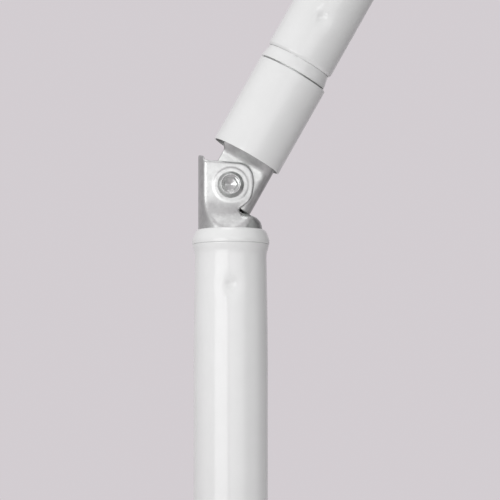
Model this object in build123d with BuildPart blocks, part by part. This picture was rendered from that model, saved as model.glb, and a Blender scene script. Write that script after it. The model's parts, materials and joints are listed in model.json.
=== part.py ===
"""Tilt joint of a parasol pole: two white steel tube ends, two nested pressed
brackets on one pivot, and the sleeve that slides down to lock the pole straight.

Frame, in mm: origin at the centre of the lower tube's open bottom end, +Z up the
lower tube, +X towards the side the pole tilts to, +Y along the pivot.
Lower-pole sketches use (x, z) from the pivot. Upper-pole sketches use (r, u) from
the pivot: u runs up the tilted pole and r is square to it, towards +X.
"""
import os
from math import cos, radians, sin, sqrt

from build123d import *

os.makedirs("parts", exist_ok=True)

# ---- driving dimensions -------------------------------------------------
PIVOT_Z = 200.0          # pivot above the lower tube's open end
TILT = 29.4              # tilt of the upper pole from straight, on its stop
SHEET = 1.6              # bracket sheet thickness
THROUGH = 60.0           # longer than the joint is wide, for cuts right through it
FLAT_LAP = 0.35          # how much further a bracket's inner flats run than its outer ones
ROUND_LAP = 0.2          # the same for the round part beyond the bend

LOWER_TUBE_R = 19.0      # full-size outer radius
LOWER_TUBE_IN_R = 17.8   # socket radius
LOWER_SOCKET = 100.0     # length of full-size bore
LOWER_TUBE_NECK_R = 18.55  # swaged radius where the dimples are
LOWER_LIP_R = 19.65      # flared lip under the end ring
LOWER_TOP = -29.8
LOWER_NECK_END = -86.0   # where the swaged bore opens to the socket
LOWER_SWAGE_END = -92.0  # below here the tube is full size outside
RING_TOP = -22.3

LOWER_R = 16.65          # lower bracket, outer radius of its round foot
LOWER_FLAT = 9.8         # outer face of its ears, from the mid-plane
LOWER_FLAT_END = -10.5   # where the ears start to open out to the foot
LOWER_ROUND = -24.2      # where the foot is fully round
LOWER_FOOT_END = -75.0

UPPER_AXIS = -1.3        # upper pole axis, off the pivot
UPPER_R = 16.8           # upper bracket, outer radius of its round part
UPPER_FLAT = 7.7
UPPER_FLAT_END = 13.8
UPPER_ROUND = 24.6
UPPER_END = 115.0
UPPER_EAR_R = 12.26      # round end of its ears, about the pivot
UPPER_OPEN_EDGE = -12.0  # cut edge of its open side
UPPER_OPEN_TOP = 24.0
WEB_END = -8.35          # lower end of its web, which meets the stop shelf

UPPER_TUBE_R = 18.0
UPPER_TUBE_START = 73.3
UPPER_TUBE_END = 165.0
UPPER_TUBE_IN_R = 17.2   # socket radius, a little over the bracket's
COLLAR = (66.5, 73.1)    # stop collar, from and to along the pole

SLEEVE_AXIS = -0.7       # the sleeve hangs a little towards the low side
SLEEVE_R = 18.75
SLEEVE_WALL = 0.85
SLEEVE = (17.5, 65.7)

PIN_R = 4.0              # barrel of the pivot nut
PIN_BORE_R = 4.05
SCREW_R = 2.95
SCREW_END = 4.5          # past the mid-plane
THREAD_END = 5.5
HEAD_LAP = 0.4           # how far a shank runs on into its head
HEAD_R = 6.7
HEAD_RIM_R = 5.1
HEAD_H = 4.6
RECESS_R = 4.6           # round recess in the head, above the hex
RECESS_DEPTH = 0.9
HEX_AF = 6.4
HEX_DEPTH = 2.6
PAD_R = 9.2              # low pressed pad round the pivot
PAD_H = 0.4
WASHER_R = 8.0
BUSH_R = 6.0
WASHER_PLAY = 0.05
WASHER_T = LOWER_FLAT - SHEET - UPPER_FLAT - WASHER_PLAY

DIMPLE_R = 14.0          # punch radius of the dimples that fix the brackets
DIMPLE_DEPTH = 1.2
LOWER_DIMPLE = -51.8
UPPER_DIMPLE = 96.3

# ---- planes of the two poles --------------------------------------------
PIVOT = Vector(0, 0, PIVOT_Z)


def pole_frame(tilt):
    """Direction along the pole, direction square to it, and two sketch planes."""
    along = Vector(sin(radians(tilt)), 0, cos(radians(tilt)))
    square = Vector(cos(radians(tilt)), 0, -sin(radians(tilt)))
    side = Plane(origin=PIVOT, x_dir=square, z_dir=(0, -1, 0))
    front = Plane(origin=PIVOT, x_dir=(0, 1, 0), z_dir=square)
    return along, square, side, front


LOW_ALONG, LOW_SQUARE, LOW_SIDE, LOW_FRONT = pole_frame(0.0)
TOP_ALONG, TOP_SQUARE, TOP_SIDE, TOP_FRONT = pole_frame(TILT)
LOW_AXIS = Axis(PIVOT, LOW_ALONG)
TOP_AXIS = Axis(PIVOT + TOP_SQUARE * UPPER_AXIS, TOP_ALONG)
SLEEVE_LINE = Axis(PIVOT + TOP_SQUARE * SLEEVE_AXIS, TOP_ALONG)


def turned(side, axis, centre, outline):
    """Solid of revolution from (radius, height) points about a pole axis."""
    with BuildPart() as piece:
        with BuildSketch(side):
            with BuildLine():
                Polyline([(centre + r, h) for r, h in outline], close=True)
            make_face()
        revolve(axis=axis)
    return piece.part


def pressed_form(side, front, axis, centre, radius, flat, flat_end, round_at, ends):
    """Round bar squeezed to two flats: the outside, or inside, of a bracket."""
    low, high = ends
    bar = turned(side, axis, centre, [(0, low), (radius, low), (radius, high), (0, high)])
    tip = high + 5 if flat_end > round_at else low - 5
    with BuildPart() as form:
        add(bar)
        with BuildSketch(front):
            for sign in (-1, 1):
                with BuildLine():
                    Polyline(
                        (sign * flat, tip),
                        (sign * flat, flat_end),
                        (sign * (radius + 0.1), round_at),
                        (sign * THROUGH, round_at),
                        (sign * THROUGH, tip),
                        close=True,
                    )
                make_face()
        extrude(amount=THROUGH, both=True, mode=Mode.SUBTRACT)
    return form.part


def dimple_centres(along, square, centre, height, surface_r):
    """Centres of the front and rear punch spheres of one pair of dimples."""
    middle = PIVOT + along * height + square * centre
    out = surface_r + DIMPLE_R - DIMPLE_DEPTH
    return [middle + Vector(0, sign * out, 0) for sign in (-1, 1)]


def dimpled(piece, bore, centres, cut_r, wall):
    """Push a punch dimple through one wall: a hollow outside, a boss inside."""
    with BuildPart() as bosses:
        with Locations(*centres):
            Sphere(cut_r + wall)
        add(bore, mode=Mode.INTERSECT)
    with BuildPart() as result:
        add(piece)
        add(bosses.part)
        with Locations(*centres):
            Sphere(cut_r, mode=Mode.SUBTRACT)
    return result.part


# ---- lower pole ---------------------------------------------------------
low_punch = dimple_centres(LOW_ALONG, LOW_SQUARE, 0, LOWER_DIMPLE, LOWER_TUBE_NECK_R)
LOW_WALL = LOWER_TUBE_NECK_R - LOWER_R

with BuildPart() as lower_tube_wall:
    with BuildSketch(LOW_SIDE):
        with BuildLine():
            Spline((LOWER_LIP_R, LOWER_TOP), (18.9, -32.5), (18.35, -35.5), (18.4, -40),
                   (LOWER_TUBE_NECK_R, LOWER_DIMPLE), (18.75, -63), (18.92, -76),
                   (LOWER_TUBE_R, LOWER_SWAGE_END),
                   tangents=[(-0.05, -1), (0, -1)])
            Polyline(
                (LOWER_TUBE_R, LOWER_SWAGE_END),
                (LOWER_TUBE_R, -PIVOT_Z),
                (LOWER_TUBE_IN_R, -PIVOT_Z),
                (LOWER_TUBE_IN_R, -PIVOT_Z + LOWER_SOCKET),
                (LOWER_R, LOWER_NECK_END + 1),
                (LOWER_R, LOWER_TOP),
                (LOWER_LIP_R, LOWER_TOP),
            )
        make_face()
    revolve(axis=LOW_AXIS)
low_bore = turned(LOW_SIDE, LOW_AXIS, 0, [
    (0, LOWER_NECK_END), (LOWER_R, LOWER_NECK_END), (LOWER_R, LOWER_TOP), (0, LOWER_TOP)])

with BuildPart() as lower_tube:
    add(dimpled(lower_tube_wall.part, low_bore, low_punch, DIMPLE_R, LOW_WALL))

# moulded ring that closes the tube end round the bracket
with BuildPart() as lower_end_ring:
    with BuildSketch(LOW_SIDE):
        with BuildLine():
            Polyline((17.1, RING_TOP), (LOWER_R, RING_TOP), (LOWER_R, LOWER_TOP), (19.6, LOWER_TOP))
            Spline((19.6, LOWER_TOP), (19.85, -28.2), (19.15, -25.4), (18.2, -23.5), (17.1, RING_TOP),
                   tangents=[(0.3, 1), (-0.8, 0.6)])
        make_face()
    revolve(axis=LOW_AXIS)

low_outer = pressed_form(LOW_SIDE, LOW_FRONT, LOW_AXIS, 0, LOWER_R, LOWER_FLAT,
                         LOWER_FLAT_END, LOWER_ROUND, (LOWER_FOOT_END, 18))
low_inner = pressed_form(LOW_SIDE, LOW_FRONT, LOW_AXIS, 0, LOWER_R - SHEET, LOWER_FLAT - SHEET,
                         LOWER_FLAT_END - FLAT_LAP, LOWER_ROUND - ROUND_LAP, (LOWER_FOOT_END - 1, 19))

# drawn shelf on the open side: the stop that the upper bracket's web lands on
with BuildPart() as shelf:
    with BuildSketch(LOW_SIDE):
        with BuildLine():
            Polyline((5.4, -14.2), (6.0, -14.5), (9.5, -15.3), (13.6, -16.6), (15.4, -18.2),
                     (16.45, -19.9), (16.8, -22.5), (16.8, -26), (15.1, -26), (15.0, -22),
                     (14.4, -19.9), (12.9, -18.2), (9.1, -16.9), (5.4, -15.9), close=True)
        make_face()
    extrude(amount=THROUGH, both=True)
    add(low_outer, mode=Mode.INTERSECT)

with BuildPart() as low_shell:
    add(low_outer)
    add(low_inner, mode=Mode.SUBTRACT)
    add(shelf.part)
    with Locations(Location(PIVOT, (90, 0, 0))):
        Cylinder(PAD_R, 2 * (LOWER_FLAT + PAD_H))
        Cylinder(PAD_R + 1, 2 * (LOWER_FLAT - SHEET), mode=Mode.SUBTRACT)
        Cylinder(PIN_BORE_R, THROUGH, mode=Mode.SUBTRACT)
    with BuildSketch(LOW_SIDE):
        with BuildLine():
            Polyline((4.9, 11.7), (-12.7, 13.05), (-13.3, 13.5), (-13.5, 15.0), (-18, 17.3),
                     (-18, -80), (18, -80), (18, -23), (16.8, -22.5), (16.45, -19.9), (15.5, -18.2),
                     (13.6, -16.6), (9.5, -15.3), (6.0, -14.5), (4.8, -13.8), (4.6, -13.0),
                     (5.2, -12.1), (6.6, -11.0))
            ThreePointArc((6.6, -11.0), (9.9, -8.1), (11.5, -4.0))
            ThreePointArc((11.5, -4.0), (12.0, 0.6), (11.7, 5.0))
            ThreePointArc((11.7, 5.0), (9.3, 9.5), (4.9, 11.7))
        make_face()
    extrude(amount=THROUGH, both=True, mode=Mode.INTERSECT)
low_core = turned(LOW_SIDE, LOW_AXIS, 0, [
    (0, LOWER_FOOT_END - 5), (LOWER_R - SHEET, LOWER_FOOT_END - 5), (LOWER_R - SHEET, -30), (0, -30)])

with BuildPart() as lower_bracket:
    add(dimpled(low_shell.part, low_core, low_punch, DIMPLE_R + LOW_WALL, SHEET))

# ---- upper pole ---------------------------------------------------------
top_punch = dimple_centres(TOP_ALONG, TOP_SQUARE, UPPER_AXIS, UPPER_DIMPLE, UPPER_TUBE_R)
TOP_WALL = UPPER_TUBE_R - UPPER_R

top_tube_wall = turned(TOP_SIDE, TOP_AXIS, UPPER_AXIS, [
    (UPPER_R, UPPER_TUBE_START), (17.25, UPPER_TUBE_START), (17.75, UPPER_TUBE_START + 0.5),
    (UPPER_TUBE_R, UPPER_TUBE_START + 1.4), (UPPER_TUBE_R, UPPER_TUBE_END),
    (UPPER_TUBE_IN_R, UPPER_TUBE_END), (UPPER_TUBE_IN_R, UPPER_END), (UPPER_R, UPPER_END)])
top_bore = turned(TOP_SIDE, TOP_AXIS, UPPER_AXIS, [
    (0, UPPER_TUBE_START), (UPPER_R, UPPER_TUBE_START), (UPPER_R, UPPER_END + 5), (0, UPPER_END + 5)])

with BuildPart() as upper_tube:
    add(dimpled(top_tube_wall, top_bore, top_punch, DIMPLE_R, TOP_WALL))

with BuildPart() as stop_collar:
    add(turned(TOP_SIDE, TOP_AXIS, UPPER_AXIS, [
        (UPPER_R, COLLAR[0]), (17.8, COLLAR[0]), (18.05, COLLAR[0] + 0.3), (17.95, COLLAR[0] + 1.6),
        (17.6, COLLAR[0] + 3.2), (17.2, COLLAR[0] + 5.0), (17.0, COLLAR[1]), (UPPER_R, COLLAR[1])]))

top_outer = pressed_form(TOP_SIDE, TOP_FRONT, TOP_AXIS, UPPER_AXIS, UPPER_R, UPPER_FLAT,
                         UPPER_FLAT_END, UPPER_ROUND, (-14, UPPER_END))
top_inner = pressed_form(TOP_SIDE, TOP_FRONT, TOP_AXIS, UPPER_AXIS, UPPER_R - SHEET, UPPER_FLAT - SHEET,
                         UPPER_FLAT_END + FLAT_LAP, UPPER_ROUND + ROUND_LAP, (-15, UPPER_END + 1))

# ends of the ears' round edge: at the web, and at the open side
EAR_AT_WEB = sqrt(UPPER_EAR_R**2 - WEB_END**2)
EAR_AT_OPEN = -sqrt(UPPER_EAR_R**2 - UPPER_OPEN_EDGE**2)

with BuildPart() as top_shell:
    add(top_outer)
    add(top_inner, mode=Mode.SUBTRACT)
    with Locations(Location(PIVOT, (90, 0, 0))):
        Cylinder(PIN_BORE_R, THROUGH, mode=Mode.SUBTRACT)
    with BuildSketch(TOP_SIDE):
        with BuildLine():
            Polyline((UPPER_OPEN_EDGE, EAR_AT_OPEN), (UPPER_OPEN_EDGE, UPPER_FLAT_END + 0.4),
                     (UPPER_OPEN_EDGE - 1.6, UPPER_FLAT_END + 3.4), (UPPER_OPEN_EDGE - 1.6, UPPER_OPEN_TOP),
                     (-22, UPPER_OPEN_TOP), (-22, UPPER_END + 5), (22, UPPER_END + 5), (22, WEB_END),
                     (EAR_AT_WEB, WEB_END))
            ThreePointArc((EAR_AT_WEB, WEB_END), (0, -UPPER_EAR_R), (UPPER_OPEN_EDGE, EAR_AT_OPEN))
        make_face()
    extrude(amount=THROUGH, both=True, mode=Mode.INTERSECT)
top_core = turned(TOP_SIDE, TOP_AXIS, UPPER_AXIS, [
    (0, UPPER_TUBE_START), (UPPER_R - SHEET, UPPER_TUBE_START), (UPPER_R - SHEET, UPPER_END - 2),
    (0, UPPER_END - 2)])

with BuildPart() as upper_bracket:
    add(dimpled(top_shell.part, top_core, top_punch, DIMPLE_R + TOP_WALL, SHEET))

with BuildPart() as lock_sleeve:
    add(turned(TOP_SIDE, SLEEVE_LINE, SLEEVE_AXIS, [
        (SLEEVE_R - SLEEVE_WALL, SLEEVE[0]), (SLEEVE_R - 0.25, SLEEVE[0]), (SLEEVE_R, SLEEVE[0] + 0.25),
        (SLEEVE_R, SLEEVE[1] - 0.25), (SLEEVE_R - 0.25, SLEEVE[1]), (SLEEVE_R - SLEEVE_WALL, SLEEVE[1])]))

# ---- pivot --------------------------------------------------------------
PIVOT_LINE = Axis(PIVOT, (0, 1, 0))
HEAD_SEAT = LOWER_FLAT + PAD_H


def pivot_head(sign):
    """Tapered low head with a round recess and a hex socket, seated on an ear."""
    face = HEAD_SEAT + HEAD_H
    with BuildPart() as head:
        with BuildSketch(Plane(origin=PIVOT, x_dir=(1, 0, 0), z_dir=(0, 0, 1))):
            with BuildLine():
                Polyline([(r, sign * y) for r, y in [
                    (0, HEAD_SEAT), (HEAD_R, HEAD_SEAT), (HEAD_R, HEAD_SEAT + 1.1),
                    (HEAD_R - 0.35, HEAD_SEAT + 1.5), (HEAD_RIM_R + 0.3, face - 0.25),
                    (HEAD_RIM_R, face), (RECESS_R, face), (RECESS_R - 0.3, face - RECESS_DEPTH),
                    (0, face - RECESS_DEPTH)]], close=True)
            make_face()
        revolve(axis=PIVOT_LINE)
        with BuildSketch(Plane(origin=PIVOT + Vector(0, sign * (face - HEX_DEPTH), 0), x_dir=(1, 0, 0),
                               z_dir=(0, sign, 0))):
            RegularPolygon(HEX_AF / 2, 6, major_radius=False)
        extrude(amount=HEX_DEPTH + 1, mode=Mode.SUBTRACT)
    return head.part


def rod(radius, y_from, y_to):
    with BuildPart() as piece:
        with Locations(Location(PIVOT + Vector(0, (y_from + y_to) / 2, 0), (90, 0, 0))):
            Cylinder(radius, abs(y_to - y_from))
    return piece.part


front_head = pivot_head(-1)
rear_head = pivot_head(1)
barrel_rod = rod(PIN_R, -HEAD_SEAT + HEAD_LAP, HEAD_SEAT + HEAD_LAP)
thread_hole = rod(SCREW_R, -HEAD_SEAT - 1, THREAD_END)
screw_rod = rod(SCREW_R, -HEAD_SEAT - HEAD_LAP, SCREW_END)

with BuildPart() as pivot_screw:
    add(front_head)
    add(screw_rod)

with BuildPart() as pivot_barrel_nut:
    add(rear_head)
    add(barrel_rod)
    add(thread_hole, mode=Mode.SUBTRACT)

with BuildPart() as pivot_bush:
    with Locations(Location(PIVOT, (90, 0, 0))):
        Cylinder(BUSH_R, 2 * (UPPER_FLAT - SHEET))
        Cylinder(PIN_BORE_R, THROUGH, mode=Mode.SUBTRACT)

with BuildPart() as friction_washers:
    for sign in (-1, 1):
        middle = PIVOT + Vector(0, sign * (UPPER_FLAT + WASHER_PLAY + WASHER_T / 2), 0)
        with Locations(Location(middle, (90, 0, 0))):
            Cylinder(WASHER_R, WASHER_T)
    with Locations(Location(PIVOT, (90, 0, 0))):
        Cylinder(PIN_R, THROUGH, mode=Mode.SUBTRACT)

# ---- labels and files -----------------------------------------------------
lower_tube.part.label = "lower_tube"
export_step(lower_tube.part, "parts/lower_tube.step")
lower_end_ring.part.label = "lower_end_ring"
export_step(lower_end_ring.part, "parts/lower_end_ring.step")
lower_bracket.part.label = "lower_bracket"
export_step(lower_bracket.part, "parts/lower_bracket.step")
pivot_screw.part.label = "pivot_screw"
export_step(pivot_screw.part, "parts/pivot_screw.step")
pivot_barrel_nut.part.label = "pivot_barrel_nut"
export_step(pivot_barrel_nut.part, "parts/pivot_barrel_nut.step")
friction_washers.part.label = "friction_washers"
export_step(friction_washers.part, "parts/friction_washers.step")
pivot_bush.part.label = "pivot_bush"
export_step(pivot_bush.part, "parts/pivot_bush.step")
upper_bracket.part.label = "upper_bracket"
export_step(upper_bracket.part, "parts/upper_bracket.step")
upper_tube.part.label = "upper_tube"
export_step(upper_tube.part, "parts/upper_tube.step")
stop_collar.part.label = "stop_collar"
export_step(stop_collar.part, "parts/stop_collar.step")
lock_sleeve.part.label = "lock_sleeve"
export_step(lock_sleeve.part, "parts/lock_sleeve.step")
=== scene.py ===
"""Looks of the parasol pole's tilt joint: white powder-coated tubes, zinc-plated
pressed brackets and a turned pivot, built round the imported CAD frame.

Everything is in metres in the row frame. Each pole has its own coordinates in mm,
measured from the pivot: r square to the pole (towards the side the joint tilts to),
y along the pivot, and h up the pole.
"""
import json
import math

import bpy
import numpy as np
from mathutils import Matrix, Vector

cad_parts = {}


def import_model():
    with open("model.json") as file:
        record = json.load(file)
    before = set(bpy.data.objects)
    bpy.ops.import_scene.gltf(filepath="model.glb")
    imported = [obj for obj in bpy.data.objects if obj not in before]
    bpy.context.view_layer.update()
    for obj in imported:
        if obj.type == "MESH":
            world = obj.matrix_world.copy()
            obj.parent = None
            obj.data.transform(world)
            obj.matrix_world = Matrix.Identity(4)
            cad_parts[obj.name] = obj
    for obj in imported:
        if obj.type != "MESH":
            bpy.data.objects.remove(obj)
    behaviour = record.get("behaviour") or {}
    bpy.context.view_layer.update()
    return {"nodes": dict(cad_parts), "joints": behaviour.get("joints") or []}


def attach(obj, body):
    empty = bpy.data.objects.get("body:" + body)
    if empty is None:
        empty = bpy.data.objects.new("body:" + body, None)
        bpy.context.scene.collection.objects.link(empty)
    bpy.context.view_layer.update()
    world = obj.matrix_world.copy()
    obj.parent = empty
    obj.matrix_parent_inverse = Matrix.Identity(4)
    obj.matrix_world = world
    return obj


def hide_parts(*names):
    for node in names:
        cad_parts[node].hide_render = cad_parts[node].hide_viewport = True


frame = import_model()

MM = 0.001

# ---- the two poles ------------------------------------------------------
JOINTS = {j["name"]: j for j in frame["joints"]}
PIVOT = np.array(JOINTS["tilt"]["pos_m"])


class Pole:
    """A pole's own axes: turns (r, y, h) in mm from the pivot into the row frame."""

    def __init__(self, direction, axis_offset):
        self.up = np.array(direction) / np.linalg.norm(direction)
        self.out = np.array([self.up[2], 0.0, -self.up[0]])
        self.offset = axis_offset

    def place(self, points):
        points = np.asarray(points, float)
        local = points[:, :1] * self.out + points[:, 1:2] * [0, 1, 0] + points[:, 2:3] * self.up
        return PIVOT + local * MM


LOWER = Pole((0, 0, 1), 0.0)
UPPER = Pole(JOINTS["sleeve_slide"]["axis"], -1.3)
SLEEVE = Pole(JOINTS["sleeve_slide"]["axis"], -0.7)

# ---- sizes, in mm -------------------------------------------------------
SHEET = 1.6
LOWER_TUBE_R, LOWER_TUBE_IN_R, LOWER_NECK_R, LOWER_TUBE_END = 19.0, 17.8, 18.55, -200.0
LOWER_R, LOWER_FLAT, LOWER_FLAT_END, LOWER_ROUND, LOWER_FOOT_END = 16.65, 9.8, -10.5, -24.2, -75
RING_BOTTOM, RING_TOP = -29.8, -22.35
UPPER_TUBE_R, UPPER_TUBE_IN_R, UPPER_TUBE_START, UPPER_TUBE_END = 18.0, 17.2, 73.3, 164.9
UPPER_R, UPPER_FLAT, UPPER_FLAT_END, UPPER_ROUND, UPPER_END = 16.8, 7.7, 13.8, 24.6, 115
UPPER_EAR_R, WEB_END = 12.26, -8.35
COLLAR_BOTTOM, COLLAR_TOP = 66.5, 73.15
SLEEVE_R, SLEEVE_WALL, SLEEVE_BOTTOM, SLEEVE_TOP = 18.75, 0.85, 17.5, 65.7
HEAD_SEAT, HEAD_H, HEX_ACROSS = 10.2, 4.6, 6.4
PAD_R, PAD_TOP, PAD_UNDER = 8.8, 10.08, 8.9
PIN_R, PIN_BORE_R, SCREW_R = 4.0, 4.05, 2.95
DIMPLE_R, DIMPLE_DEPTH = 14.0, 1.2
DIMPLE_AT_LOWER, DIMPLE_AT_UPPER = -51.8, 96.3
PLAY = 0.03                      # between a tube's bore and the bracket in it
SEGMENTS = 160                   # round each tube
CELL, LONG_CELL = 0.4, 1.5       # bracket mesh, where it shows and where a tube hides it


# ---- mesh helpers -------------------------------------------------------
def new_piece(name, points, faces, body, replaced, smooth_angle=35):
    """Mesh piece that rides on a body and stands for one CAD node."""
    mesh = bpy.data.meshes.new(name)
    mesh.from_pydata([tuple(p) for p in points], [], faces)
    mesh.validate()
    mesh.shade_smooth()
    mesh.set_sharp_from_angle(angle=math.radians(smooth_angle))
    piece = bpy.data.objects.new(name, mesh)
    bpy.context.collection.objects.link(piece)
    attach(piece, body)
    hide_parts(replaced)
    return piece


def rounded(corners, steps=5):
    """Closed outline from (x, y, radius) corners, each turned into a small smooth curve."""
    outline = []
    count = len(corners)
    for i in range(count):
        here = np.array(corners[i][:2], float)
        before = np.array(corners[i - 1][:2], float)
        after = np.array(corners[(i + 1) % count][:2], float)
        radius = corners[i][2]
        to_before = (before - here) / np.linalg.norm(before - here)
        to_after = (after - here) / np.linalg.norm(after - here)
        if radius <= 0:
            outline.append(tuple(here))
            continue
        shorter = min(np.linalg.norm(before - here), np.linalg.norm(after - here))
        reach = min(radius, 0.45 * shorter)
        start, end = here + to_before * reach, here + to_after * reach
        for t in np.linspace(0, 1, steps):
            point = (1 - t) ** 2 * start + 2 * t * (1 - t) * here + t * t * end
            outline.append(tuple(point))
    return outline


def divided(outline, longest):
    """The same closed outline with no side longer than the given length."""
    dense = []
    for a, b in zip(outline, outline[1:] + outline[:1]):
        a, b = np.array(a), np.array(b)
        parts = max(1, math.ceil(np.linalg.norm(b - a) / longest))
        dense += [tuple(a + (b - a) * k / parts) for k in range(parts)]
    return dense


def grid_faces(rows, columns):
    """Quads of a grid closed both ways: rows round a section, columns round the axis."""
    faces = []
    for i in range(rows):
        for j in range(columns):
            a, b = i, (i + 1) % rows
            c, d = j, (j + 1) % columns
            faces.append((a * columns + c, a * columns + d, b * columns + d, b * columns + c))
    return faces


def turned(name, pole, outline, body, node, reshape=None):
    """Piece with an (r, h) outline turned about a pole's axis; reshape may push its points."""
    outline = np.array(outline)
    angle = np.linspace(0, 2 * math.pi, SEGMENTS, endpoint=False)
    r = outline[:, :1] * np.cos(angle)
    y = outline[:, :1] * np.sin(angle)
    h = np.repeat(outline[:, 1:], SEGMENTS, axis=1)
    local = np.stack([r, y, h], axis=-1).reshape(-1, 3)
    if reshape:
        local = reshape(local)
    local[:, 0] += pole.offset
    faces = grid_faces(len(outline), SEGMENTS)
    return new_piece(name, pole.place(local), faces, body, node)


def dimple(height):
    """A soft dish with a deeper punch mark in its middle, on the front and the back."""
    depth, dish_share, dish_reach = 1.3, 0.68, 4.9
    punch_share, punch_r, punch_edge = 0.47, 2.2, 0.36

    def reshape(local):
        radius = np.hypot(local[:, 0], local[:, 1])
        arc = np.arcsin(np.clip(local[:, 0] / radius, -1, 1)) * radius
        away = np.hypot(arc, local[:, 2] - height)
        dish = dish_share * np.exp(-((away / dish_reach) ** 2))
        punch = punch_share / (1 + np.exp((away - punch_r) / punch_edge))
        push = 1 - depth * (dish + punch) / radius
        local[:, 0] *= push
        local[:, 1] *= push
        return local

    return reshape


# ---- white tubes --------------------------------------------------------
def lower_tube():
    """Swaged in gently towards the top, where it grips the bracket."""
    heights = np.linspace(-129, -30.3, 165)
    knots = np.array([[-129, LOWER_TUBE_R], [-92, LOWER_TUBE_R], [-76, 18.92], [-63, 18.75],
                      [-52, LOWER_NECK_R], [-40, 18.38], [-36.5, 18.3], [-34, 18.45], [-32.5, 18.9],
                      [-31.2, 19.4], [-30.3, 19.65]])
    radii = np.interp(heights, knots[:, 0], knots[:, 1])
    window = np.hanning(9) / np.hanning(9).sum()
    soft = np.convolve(np.pad(radii, 4, mode="edge"), window, mode="valid")
    wall = list(zip(soft, heights))
    rim = [(19.6, -29.98), (19.4, -29.84), (16.85, -29.82), (16.7, -30.0)]
    bore = [(16.7, -84.0), (16.9, -86.5), (17.5, -97.5), (LOWER_TUBE_IN_R, -100.5)]
    foot = [(LOWER_TUBE_IN_R, LOWER_TUBE_END + 0.4), (LOWER_TUBE_IN_R + 0.2, LOWER_TUBE_END + 0.05),
            (LOWER_TUBE_R - 0.3, LOWER_TUBE_END), (LOWER_TUBE_R - 0.06, LOWER_TUBE_END + 0.15),
            (LOWER_TUBE_R, LOWER_TUBE_END + 0.5)]
    outline = divided(wall + rim + bore + foot, 1.2)
    return turned("white_lower_tube", LOWER, outline, "lower_pole", "lower_tube",
                  dimple(DIMPLE_AT_LOWER))


def upper_tube():
    """Straight tube with a slightly rounded-in lower end and a wider socket at the top."""
    bore_r = UPPER_R + PLAY
    outline = rounded([(bore_r, UPPER_TUBE_START, 0.2), (17.2, UPPER_TUBE_START, 0.25),
                       (UPPER_TUBE_R, UPPER_TUBE_START + 1.1, 0.9), (UPPER_TUBE_R, UPPER_TUBE_END, 0.3),
                       (UPPER_TUBE_IN_R, UPPER_TUBE_END, 0.2), (UPPER_TUBE_IN_R, UPPER_END + 0.6, 0.4),
                       (bore_r, UPPER_END, 0.4)])
    return turned("white_upper_tube", UPPER, divided(outline, 1.2), "upper_pole",
                  "upper_tube", dimple(DIMPLE_AT_UPPER))


def lock_sleeve():
    inner_r = SLEEVE_R - SLEEVE_WALL
    outline = rounded([(SLEEVE_R, SLEEVE_BOTTOM, 0.28), (SLEEVE_R, SLEEVE_TOP, 0.28),
                       (inner_r, SLEEVE_TOP, 0.25), (inner_r, SLEEVE_BOTTOM, 0.25)])
    return turned("white_lock_sleeve", SLEEVE, divided(outline, 1.5), "sleeve",
                  "lock_sleeve")


def lower_end_ring():
    """Bulged ring over the tube's lip, tapering up to the bracket."""
    bore_r = LOWER_R + 0.05
    outline = rounded([(19.7, RING_BOTTOM, 0.3), (19.88, -27.9, 1.4), (19.0, -25.2, 2.0),
                       (18.2, -23.4, 0.9), (17.2, RING_TOP, 0.4), (bore_r, RING_TOP, 0.25),
                       (bore_r, RING_BOTTOM, 0.2)], 9)
    return turned("white_lower_end_ring", LOWER, divided(outline, 0.8), "lower_pole",
                  "lower_end_ring")


def stop_collar():
    """Ring that the sleeve's upper end rests against, tapering up to the tube."""
    bore_r = UPPER_R + PLAY
    outline = rounded([(18.05, COLLAR_BOTTOM, 0.5), (17.95, 68.4, 1.0), (17.2, 71.6, 1.0),
                       (17.05, COLLAR_TOP, 0.1), (bore_r, COLLAR_TOP, 0.1),
                       (bore_r, COLLAR_BOTTOM, 0.2)], 7)
    return turned("white_stop_collar", UPPER, divided(outline, 0.8), "upper_pole",
                  "stop_collar")


# ---- pressed brackets, as smooth distance fields ------------------------
def round_max(a, b, size):
    """Meeting of two solids, its convex edge rounded over about size mm."""
    blend = np.maximum(size - np.abs(a - b), 0) / size
    return np.maximum(a, b) + blend * blend * size / 4


def round_min(a, b, size):
    """Joining of two solids, its inside corner rounded over about size mm."""
    return -round_max(-a, -b, size)


def polygon(r, h, corners):
    """Signed distance from a closed outline in the side view; negative inside."""
    nearest = np.full(np.broadcast(r, h).shape, 1e9)
    inside = np.zeros(nearest.shape, bool)
    for (x1, y1), (x2, y2) in zip(corners, corners[1:] + corners[:1]):
        ex, ey = x2 - x1, y2 - y1
        wx, wy = r - x1, h - y1
        t = np.clip((wx * ex + wy * ey) / (ex * ex + ey * ey), 0, 1)
        nearest = np.minimum(nearest, np.hypot(wx - ex * t, wy - ey * t))
        if y1 != y2:
            crosses = (h < y1) != (h < y2)
            inside ^= crosses & (r < x1 + ex * (h - y1) / ey)
    return np.where(inside, -nearest, nearest)


def pressed(r, y, h, centre, radius, flat, flat_end, round_at, bend, corner):
    """Solid bar whose end is squeezed between two dies.

    The bends across the pole are rounded over bend mm, those along it over corner mm.
    """
    side = np.abs(y)
    slope_y, slope_h = radius + 0.1 - flat, round_at - flat_end
    length = math.hypot(slope_y, slope_h)
    die = ((side - flat) * abs(slope_h) - (h - flat_end) * math.copysign(slope_y, slope_h)) / length
    squeezed = round_min(side - flat, die, bend)
    return round_max(np.hypot(r - centre, y) - radius, squeezed, corner)


def sheet(solid):
    """Sheet of even thickness lying just inside a solid's surface."""
    return np.abs(solid + SHEET / 2) - SHEET / 2


def punched(solid, r, y, h, centre, height, surface, punch):
    """The dimple that the tube's punch pushes into the part of the bracket behind it."""
    out = surface + DIMPLE_R - DIMPLE_DEPTH
    ball = punch - np.hypot(np.hypot(r - centre, np.abs(y) - out), h - height)
    return round_max(solid, ball, 1.5)


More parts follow.
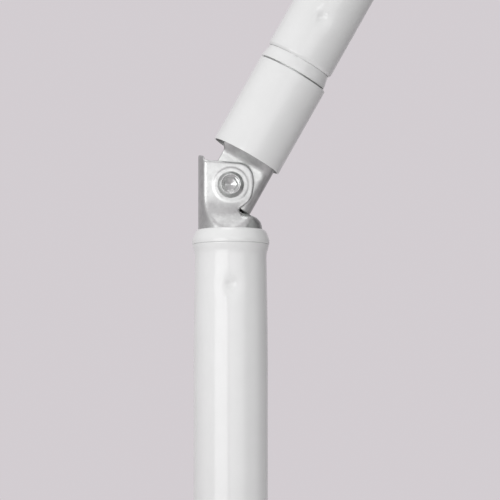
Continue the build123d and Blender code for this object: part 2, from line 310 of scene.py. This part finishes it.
def arc(radius, start, end, steps):
    """Points of an arc about the pivot, from one angle to another in degrees."""
    angles = np.radians(np.linspace(start, end, steps))
    return [(radius * math.cos(a), radius * math.sin(a)) for a in angles]


def bow(start, middle, end, steps=9):
    """Smooth curve from start to end that passes through middle."""
    a, m, b = (np.array(p, float) for p in (start, middle, end))
    pull = 2 * m - (a + b) / 2
    return [tuple((1 - t) ** 2 * a + 2 * t * (1 - t) * pull + t * t * b) for t in np.linspace(0, 1, steps)]


def lower_bracket_field(r, y, h):
    """Two ears and a web on one side, and a drawn stop shelf on the other."""
    solid = pressed(r, y, h, 0.0, LOWER_R, LOWER_FLAT, LOWER_FLAT_END, LOWER_ROUND, 3.0, 1.1)
    solid = punched(solid, r, y, h, 0.0, DIMPLE_AT_LOWER, LOWER_NECK_R, DIMPLE_R + 1.9)
    ear = bow((6.6, -11.0), (9.9, -8.1), (11.5, -4.0)) + bow((11.5, -4.0), (12.0, 0.6), (11.7, 5.0))[1:]
    ear += bow((11.7, 5.0), (9.3, 9.5), (4.9, 11.7))[1:]
    web = [(-12.4, 13.05), (-12.9, 13.2), (-13.2, 13.7), (-13.5, 15.0), (-18, 17.3), (-18, -90)]
    notch = [(18, -90), (18, -23), (16.8, -22.5), (16.45, -19.9), (15.5, -18.2), (13.6, -16.6),
             (9.5, -15.3), (6.0, -14.5), (4.8, -13.8), (4.6, -13.0), (5.2, -12.1)]
    outline = ear + web + notch
    ears = round_max(sheet(solid), polygon(r, h, outline), 1.8)
    dome = [(-30, -14.2), (5.0, -14.2), (9.5, -15.3), (13.2, -16.5), (15.5, -18.2), (16.45, -19.9),
            (17.7, -23), (17.7, -90), (-30, -90)]
    shelf = sheet(round_max(solid, polygon(r, h, dome), 3.0))
    off_shelf = np.maximum(5.2 - r, h + 13.0)
    body = np.minimum(np.maximum(ears, -off_shelf), np.maximum(shelf, off_shelf))
    from_pivot = np.hypot(r, h)
    pad = round_max(from_pivot - PAD_R, np.abs(y) - PAD_TOP, 0.9)
    pad = round_max(pad, PAD_UNDER - np.abs(y), 0.2)
    body = round_min(body, pad, 0.8)
    body = round_max(body, PIN_BORE_R - from_pivot, 0.3)
    return round_max(body, LOWER_FOOT_END - h, 0.5)


def upper_bracket_field(r, y, h):
    """Two round-ended ears joined by a web, cut open on the high side."""
    centre = UPPER.offset
    solid = pressed(r, y, h, centre, UPPER_R, UPPER_FLAT, UPPER_FLAT_END, UPPER_ROUND, 1.3, 3.0)
    solid = punched(solid, r, y, h, centre, DIMPLE_AT_UPPER, UPPER_TUBE_R, DIMPLE_R + 1.2)
    outline = [(-12.0, 14.2), (-13.6, 17.2), (-13.6, 23.2), (-14.2, 24.0), (-22, 24.0), (-22, 130),
               (22, 130), (22, WEB_END)]
    outline += arc(UPPER_EAR_R, -43, -168, 24)
    body = round_max(sheet(solid), polygon(r, h, outline), 0.5)
    body = round_max(body, PIN_BORE_R - np.hypot(r, h), 0.3)
    return round_max(body, h - UPPER_END, 0.5)


def surface_net(field, xs, ys, zs):
    """Quad mesh of the field's zero surface, one point in each cell that it crosses."""
    values = field(xs[:, None, None], ys[None, :, None], zs[None, None, :])
    axes = (xs, ys, zs)
    shape = tuple(n - 1 for n in values.shape)
    cells = shape[0] * shape[1] * shape[2]
    total, count, quads = np.zeros((cells, 3)), np.zeros(cells), []
    for axis in range(3):
        first = np.moveaxis(values, axis, 0)
        low, high = first[:-1], first[1:]
        crossing = (low < 0) != (high < 0)
        index = np.array(np.nonzero(crossing))
        a, b = low[crossing], high[crossing]
        others = [i for i in range(3) if i != axis]
        grid = np.empty((3, index.shape[1]), int)
        grid[axis], grid[others[0]], grid[others[1]] = index[0], index[1], index[2]
        point = np.stack([axes[i][grid[i]] for i in range(3)], axis=1)
        step = axes[axis][grid[axis] + 1] - axes[axis][grid[axis]]
        point[:, axis] += step * a / (a - b)
        corner = []
        for back_1, back_2 in ((0, 0), (1, 0), (1, 1), (0, 1)):
            cell = grid.copy()
            cell[others[0]] -= back_1
            cell[others[1]] -= back_2
            flat = (cell[0] * shape[1] + cell[1]) * shape[2] + cell[2]
            corner.append(flat)
            for k in range(3):
                total[:, k] += np.bincount(flat, weights=point[:, k], minlength=cells)
            count += np.bincount(flat, minlength=cells)
        quad = np.stack(corner, axis=1)
        flip = (a < 0) == (axis == 1)
        quad[flip] = quad[flip][:, ::-1]
        quads.append(quad)
    used = np.nonzero(count)[0]
    renumber = np.zeros(cells, int)
    renumber[used] = np.arange(len(used))
    return total[used] / count[used][:, None], renumber[np.concatenate(quads)]


def settled(field, points, rounds=3):
    """Moves the points onto the field's zero surface."""
    reach, least_slope, longest_move = 0.02, 0.3, 0.2
    for _ in range(rounds):
        value = field(*points.T)
        slope = np.stack([field(*(points + reach * e).T) - field(*(points - reach * e).T)
                          for e in np.eye(3)], axis=1) / (2 * reach)
        size = np.maximum((slope ** 2).sum(axis=1), least_slope)
        points = points - np.clip(value / size, -longest_move, longest_move)[:, None] * slope
    return points


def bracket(name, field, pole, heights, body, node):
    """Bracket meshed from its distance field over a grid that clears it all round."""
    across = np.arange(-19.55, 19.6, CELL)
    points, quads = surface_net(field, across, across, heights)
    points = settled(field, points)
    return new_piece(name, pole.place(points), quads.tolist(), body, node, 180)


def lower_bracket():
    hidden = np.arange(LOWER_FOOT_END - 1.5, -30 - CELL, LONG_CELL)
    heights = np.concatenate([hidden, np.arange(-30, 18.6, CELL)])
    return bracket("zinc_lower_bracket", lower_bracket_field, LOWER, heights, "lower_pole",
                   "lower_bracket")


def upper_bracket():
    hidden = np.arange(26, 116.8 + LONG_CELL, LONG_CELL)
    heights = np.concatenate([np.arange(-13.5, 26, CELL), hidden])
    return bracket("zinc_upper_bracket", upper_bracket_field, UPPER, heights, "upper_pole",
                   "upper_bracket")


# ---- pivot --------------------------------------------------------------
def hexagon(angle, across_flats):
    """Radius of a hexagon at each angle."""
    wrapped = (angle % (math.pi / 3)) - math.pi / 6
    return across_flats / 2 / np.cos(wrapped)


def pivot_part(name, sign, shank, node):
    """Tapered head with a round recess and a hex socket, and the shank behind it.

    Rows run from the socket's middle, out over the face and the taper, and back along the shank.
    """
    face = HEAD_SEAT + HEAD_H
    rim = [(4.3, face - 0.9), (4.55, face - 0.7), (4.65, face - 0.12), (4.78, face - 0.02),
           (4.98, face), (5.12, face - 0.08), (5.3, face - 0.4)]
    flank = [(5.65, HEAD_SEAT + 2.7), (6.2, HEAD_SEAT + 1.65), (6.5, HEAD_SEAT + 1.3),
             (6.66, HEAD_SEAT + 1.05), (6.7, HEAD_SEAT + 0.7), (6.68, HEAD_SEAT + 0.1),
             (6.6, HEAD_SEAT)]
    segments = 96
    angle = np.linspace(0, 2 * math.pi, segments, endpoint=False)
    six = hexagon(angle, HEX_ACROSS)
    drilled = [(0.05, face - 3.9), (0.5, face - 3.75), (1.6, face - 3.25), (2.7, face - 2.8)]
    socket = [(np.full(segments, r), y) for r, y in drilled]
    socket += [(six * 0.97, face - 2.62), (six, face - 2.45), (six, face - 1.5),
               (six * 1.02, face - 1.2), (six * 1.1, face - 0.95)]
    rows = socket + [(np.full(segments, r), y) for r, y in rim + flank + shank]
    points = [(r * math.cos(a), sign * y, r * math.sin(a))
              for row, y in rows for r, a in zip(row, angle)]
    faces = grid_faces(len(rows), segments)[: (len(rows) - 1) * segments]
    faces.append(tuple(range(segments)))
    last = (len(rows) - 1) * segments
    faces.append(tuple(reversed(range(last, last + segments))))
    if sign < 0:
        faces = [tuple(reversed(f)) for f in faces]
    return new_piece(name, LOWER.place(points), faces, "lower_pole", node, 50)


def pivot_screw():
    shank = [(SCREW_R, HEAD_SEAT), (SCREW_R, -4.2), (SCREW_R - 0.35, -4.5)]
    return pivot_part("zinc_pivot_screw", -1, shank, "pivot_screw")


def pivot_barrel_nut():
    """Its shank is the barrel that the upper bracket turns on, bored for the screw."""
    shank = [(PIN_R, HEAD_SEAT), (PIN_R, -9.5), (PIN_R - 0.15, -9.7), (3.05, -9.7), (3.0, -9.5),
             (3.0, 5.4)]
    return pivot_part("zinc_pivot_barrel_nut", 1, shank, "pivot_barrel_nut")


# ---- materials ----------------------------------------------------------
class Nodes:
    """Small helper: makes a material's nodes and joins them."""

    def __init__(self, name):
        self.material = bpy.data.materials.new(name)
        self.material.use_nodes = True
        self.tree = self.material.node_tree
        self.shader = self.tree.nodes["Principled BSDF"]
        coords = self.add("ShaderNodeTexCoord")
        self.where = coords.outputs["Object"]

    def add(self, kind, **settings):
        node = self.tree.nodes.new(kind)
        for key, value in settings.items():
            setattr(node, key, value)
        return node

    def join(self, source, target):
        self.tree.links.new(source, target)

    def scaled(self, per_mm, stretch=(1, 1, 1)):
        """Places on the piece, counted in cells of about 1/per_mm millimetres."""
        mapping = self.add("ShaderNodeMapping")
        mapping.inputs["Scale"].default_value = [1000 * per_mm * s for s in stretch]
        self.join(self.where, mapping.inputs["Vector"])
        return mapping.outputs["Vector"]

    def noise(self, per_mm, detail=3.0, rough=0.55, stretch=(1, 1, 1)):
        """Soft noise, as a 0-1 value."""
        noise = self.add("ShaderNodeTexNoise")
        noise.inputs["Scale"].default_value = 1.0
        noise.inputs["Detail"].default_value = detail
        noise.inputs["Roughness"].default_value = rough
        self.join(self.scaled(per_mm, stretch), noise.inputs["Vector"])
        return noise.outputs["Fac"]

    def cells(self, per_mm):
        """Crystals with sharp borders, each of its own random colour."""
        cells = self.add("ShaderNodeTexVoronoi")
        cells.inputs["Scale"].default_value = 1.0
        cells.inputs["Randomness"].default_value = 1.0
        self.join(self.scaled(per_mm), cells.inputs["Vector"])
        return cells.outputs["Color"]

    def spread(self, source, low, high, ends=(0.3, 0.7)):
        """Maps a 0-1 value to a range."""
        node = self.add("ShaderNodeMapRange")
        node.inputs["From Min"].default_value, node.inputs["From Max"].default_value = ends
        node.inputs["To Min"].default_value, node.inputs["To Max"].default_value = low, high
        self.join(source, node.inputs["Value"])
        return node.outputs["Result"]

    def ramp(self, source, stops):
        """Colour from a 0-1 value, by (place, colour) stops."""
        node = self.add("ShaderNodeValToRGB")
        elements = node.color_ramp.elements
        while len(elements) < len(stops):
            elements.new(0.5)
        for element, (place, colour) in zip(elements, stops):
            element.position = place
            element.color = (*colour, 1)
        self.join(source, node.inputs["Fac"])
        return node.outputs["Color"]

    def mix(self, amount, a, b):
        """Value a with a share of b mixed in."""
        node = self.add("ShaderNodeMix", data_type="FLOAT")
        node.inputs["Factor"].default_value = amount
        self.join(a, node.inputs["A"])
        self.join(b, node.inputs["B"])
        return node.outputs["Result"]

    def bump(self, height, distance_mm, under=None):
        """Surface relief distance_mm deep, on top of the relief under it."""
        node = self.add("ShaderNodeBump")
        node.inputs["Strength"].default_value = 1.0
        node.inputs["Distance"].default_value = distance_mm * MM
        self.join(height, node.inputs["Height"])
        if under is not None:
            self.join(under, node.inputs["Normal"])
        return node.outputs["Normal"]


def white_coat(name, tint=1.0, gloss=0.13):
    """Satin powder coat: a fine orange peel and faint cloudiness in colour and gloss."""
    m = Nodes(name)
    dull = (0.835 * tint, 0.863 * tint, 0.843 * tint)
    clean = (0.86 * tint, 0.888 * tint, 0.868 * tint)
    cloud = m.noise(0.06, 4)
    m.join(m.ramp(cloud, [(0.3, dull), (0.7, clean)]), m.shader.inputs["Base Color"])
    m.join(m.spread(m.noise(0.35, 3), gloss - 0.02, gloss + 0.04), m.shader.inputs["Roughness"])
    peel = m.bump(m.noise(1.1, 2), 0.006)
    m.join(m.bump(m.noise(0.12, 2), 0.02, under=peel), m.shader.inputs["Normal"])
    m.shader.inputs["Specular IOR Level"].default_value = 0.45
    return m.material


def zinc_sheet():
    """Zinc-plated steel sheet: mottled crystals, press marks and uneven gloss."""
    m = Nodes("zinc_sheet_plated")
    crystals = m.cells(0.55)
    cloud = m.noise(0.22, 5, 0.6)
    greys = [(0.25, (0.535, 0.55, 0.54)), (0.5, (0.625, 0.643, 0.63)), (0.75, (0.72, 0.742, 0.725))]
    m.join(m.ramp(m.mix(0.15, cloud, crystals), greys), m.shader.inputs["Base Color"])
    m.join(m.spread(m.noise(0.5, 4), 0.36, 0.48), m.shader.inputs["Roughness"])
    m.shader.inputs["Metallic"].default_value = 1.0
    grain = m.bump(m.noise(2.2, 3, stretch=(1, 1, 0.25)), 0.008)
    dents = m.bump(m.noise(0.16, 2), 0.16, under=grain)
    m.join(dents, m.shader.inputs["Normal"])
    return m.material


def zinc_turned():
    """Bright plated turned steel, a little cloudy."""
    m = Nodes("zinc_fastener_bright")
    greys = [(0.3, (0.605, 0.622, 0.61)), (0.7, (0.71, 0.73, 0.715))]
    m.join(m.ramp(m.noise(0.8, 3), greys), m.shader.inputs["Base Color"])
    m.join(m.spread(m.noise(1.5, 2), 0.28, 0.4), m.shader.inputs["Roughness"])
    m.shader.inputs["Metallic"].default_value = 1.0
    m.join(m.bump(m.noise(3.0, 2), 0.006), m.shader.inputs["Normal"])
    return m.material


def nylon():
    """Natural nylon, faintly clouded."""
    m = Nodes("nylon_washer")
    creams = [(0.3, (0.74, 0.73, 0.68)), (0.7, (0.82, 0.81, 0.77))]
    m.join(m.ramp(m.noise(0.9, 2), creams), m.shader.inputs["Base Color"])
    m.join(m.spread(m.noise(2.0, 2), 0.42, 0.55), m.shader.inputs["Roughness"])
    m.join(m.bump(m.noise(2.5, 2), 0.01), m.shader.inputs["Normal"])
    return m.material


def dress(piece, material):
    piece.data.materials.clear()
    piece.data.materials.append(material)


# ---- build --------------------------------------------------------------
coat, ring_coat = white_coat("white_powder_coat"), white_coat("white_ring_coat", 0.995, 0.14)
plated, bright = zinc_sheet(), zinc_turned()
for make, material in [(lower_tube, coat), (upper_tube, coat), (lock_sleeve, coat),
                       (lower_end_ring, ring_coat), (stop_collar, ring_coat),
                       (lower_bracket, plated), (upper_bracket, plated),
                       (pivot_screw, bright), (pivot_barrel_nut, bright)]:
    dress(make(), material)
for node, material in [("friction_washers", nylon()), ("pivot_bush", bright)]:
    for place in frame["nodes"][node].material_slots:
        place.material = material


# ---- stage, light and camera --------------------------------------------
def floor():
    """Round pale plate that the pole stands on, a hair below it."""
    radius, thickness, gap, segments = 0.55, 0.01, 0.0005, 96
    angles = [2 * math.pi * k / segments for k in range(segments)]
    top = [(radius * math.cos(a), radius * math.sin(a), 0) for a in angles]
    bottom = [(x, y, -thickness) for x, y, _ in top]
    faces = [tuple(range(segments)), tuple(reversed(range(segments, 2 * segments)))]
    for k in range(segments):
        after = (k + 1) % segments
        faces.append((k, k + segments, after + segments, after))
    mesh = bpy.data.meshes.new("floor")
    mesh.from_pydata(top + bottom, [], faces)
    plate = bpy.data.objects.new("floor", mesh)
    bpy.context.collection.objects.link(plate)
    m = Nodes("floor_pale")
    pales = [(0.3, (0.66, 0.64, 0.65)), (0.7, (0.70, 0.68, 0.69))]
    m.join(m.ramp(m.noise(0.02, 3), pales), m.shader.inputs["Base Color"])
    m.shader.inputs["Roughness"].default_value = 0.8
    dress(plate, m.material)
    plate.location.z = -gap


def area_light(name, azimuth, elevation, distance, width, height, power):
    """Soft box round the pivot: azimuth 0 is the camera's side, positive to its right."""
    a, e = math.radians(azimuth), math.radians(elevation)
    away = Vector((math.sin(a) * math.cos(e), -math.cos(a) * math.cos(e), math.sin(e)))
    data = bpy.data.lights.new(name, "AREA")
    data.shape, data.size, data.size_y, data.energy = "RECTANGLE", width, height, power
    light = bpy.data.objects.new(name, data)
    bpy.context.collection.objects.link(light)
    light.location = Vector(PIVOT) + away * distance
    light.rotation_euler = away.to_track_quat("Z", "Y").to_euler()
    light.visible_camera = False


def world():
    """Lilac-grey surroundings that darken to both sides, most towards +X, and below."""
    scene_world = bpy.data.worlds.new("studio")
    scene_world.use_nodes = True
    tree = scene_world.node_tree
    background = tree.nodes["Background"]
    coords = tree.nodes.new("ShaderNodeTexCoord")
    split = tree.nodes.new("ShaderNodeSeparateXYZ")
    tree.links.new(coords.outputs["Generated"], split.inputs["Vector"])
    strength = None
    for axis, bright_at, dark_at, dark in [("X", 0.15, 0.95, 0.12), ("X", -0.2, -0.95, 0.66),
                                           ("Z", 0.0, -0.5, 0.35)]:
        fade = tree.nodes.new("ShaderNodeMapRange")
        fade.interpolation_type = "SMOOTHSTEP"
        fade.inputs["From Min"].default_value, fade.inputs["From Max"].default_value = bright_at, dark_at
        fade.inputs["To Min"].default_value, fade.inputs["To Max"].default_value = 1.0, dark
        tree.links.new(split.outputs[axis], fade.inputs["Value"])
        if strength is None:
            strength = fade.outputs["Result"]
            continue
        product = tree.nodes.new("ShaderNodeMath")
        product.operation = "MULTIPLY"
        tree.links.new(fade.outputs["Result"], product.inputs[0])
        tree.links.new(strength, product.inputs[1])
        strength = product.outputs["Value"]
    background.inputs["Color"].default_value = (0.650, 0.612, 0.640, 1)
    tree.links.new(strength, background.inputs["Strength"])
    bpy.context.scene.world = scene_world


def camera():
    """Long lens, 5.2 degrees below level, looking along +Y at a point below the pivot."""
    elevation, distance, frame_width = math.radians(-5.2), 4.5, 0.255
    aim = Vector((0.00983, 0, -0.0325))
    data = bpy.data.cameras.new("camera")
    data.sensor_width = 36
    data.lens = data.sensor_width * distance / frame_width
    data.clip_end = 100
    eye = bpy.data.objects.new("camera", data)
    bpy.context.collection.objects.link(eye)
    back = Vector((0, -math.cos(elevation), math.sin(elevation)))
    eye.location = Vector(PIVOT) + aim + back * distance
    eye.rotation_euler = back.to_track_quat("Z", "Y").to_euler()
    bpy.context.scene.camera = eye


floor()
world()
# degrees, degrees, metres from the pivot, width and height in metres, watts
for name, azimuth, elevation, distance, width, height, power in [
        ("key_box", -30, -2, 1.3, 0.95, 0.75, 5.8),
        ("left_fill", -75, 10, 1.6, 1.2, 1.2, 0.9),
        ("right_high", 80, 45, 1.4, 0.8, 0.8, 0.7),
        ("right_low", 80, 8, 1.5, 0.8, 0.6, 0.9),
        ("front_fill", 20, 8, 1.8, 1.5, 0.9, 4.2),
        ("top_box", -25, 78, 1.2, 0.5, 0.5, 2.5)]:
    area_light(name, azimuth, elevation, distance, width, height, power)
camera()
bpy.context.scene.view_settings.view_transform = "Standard"
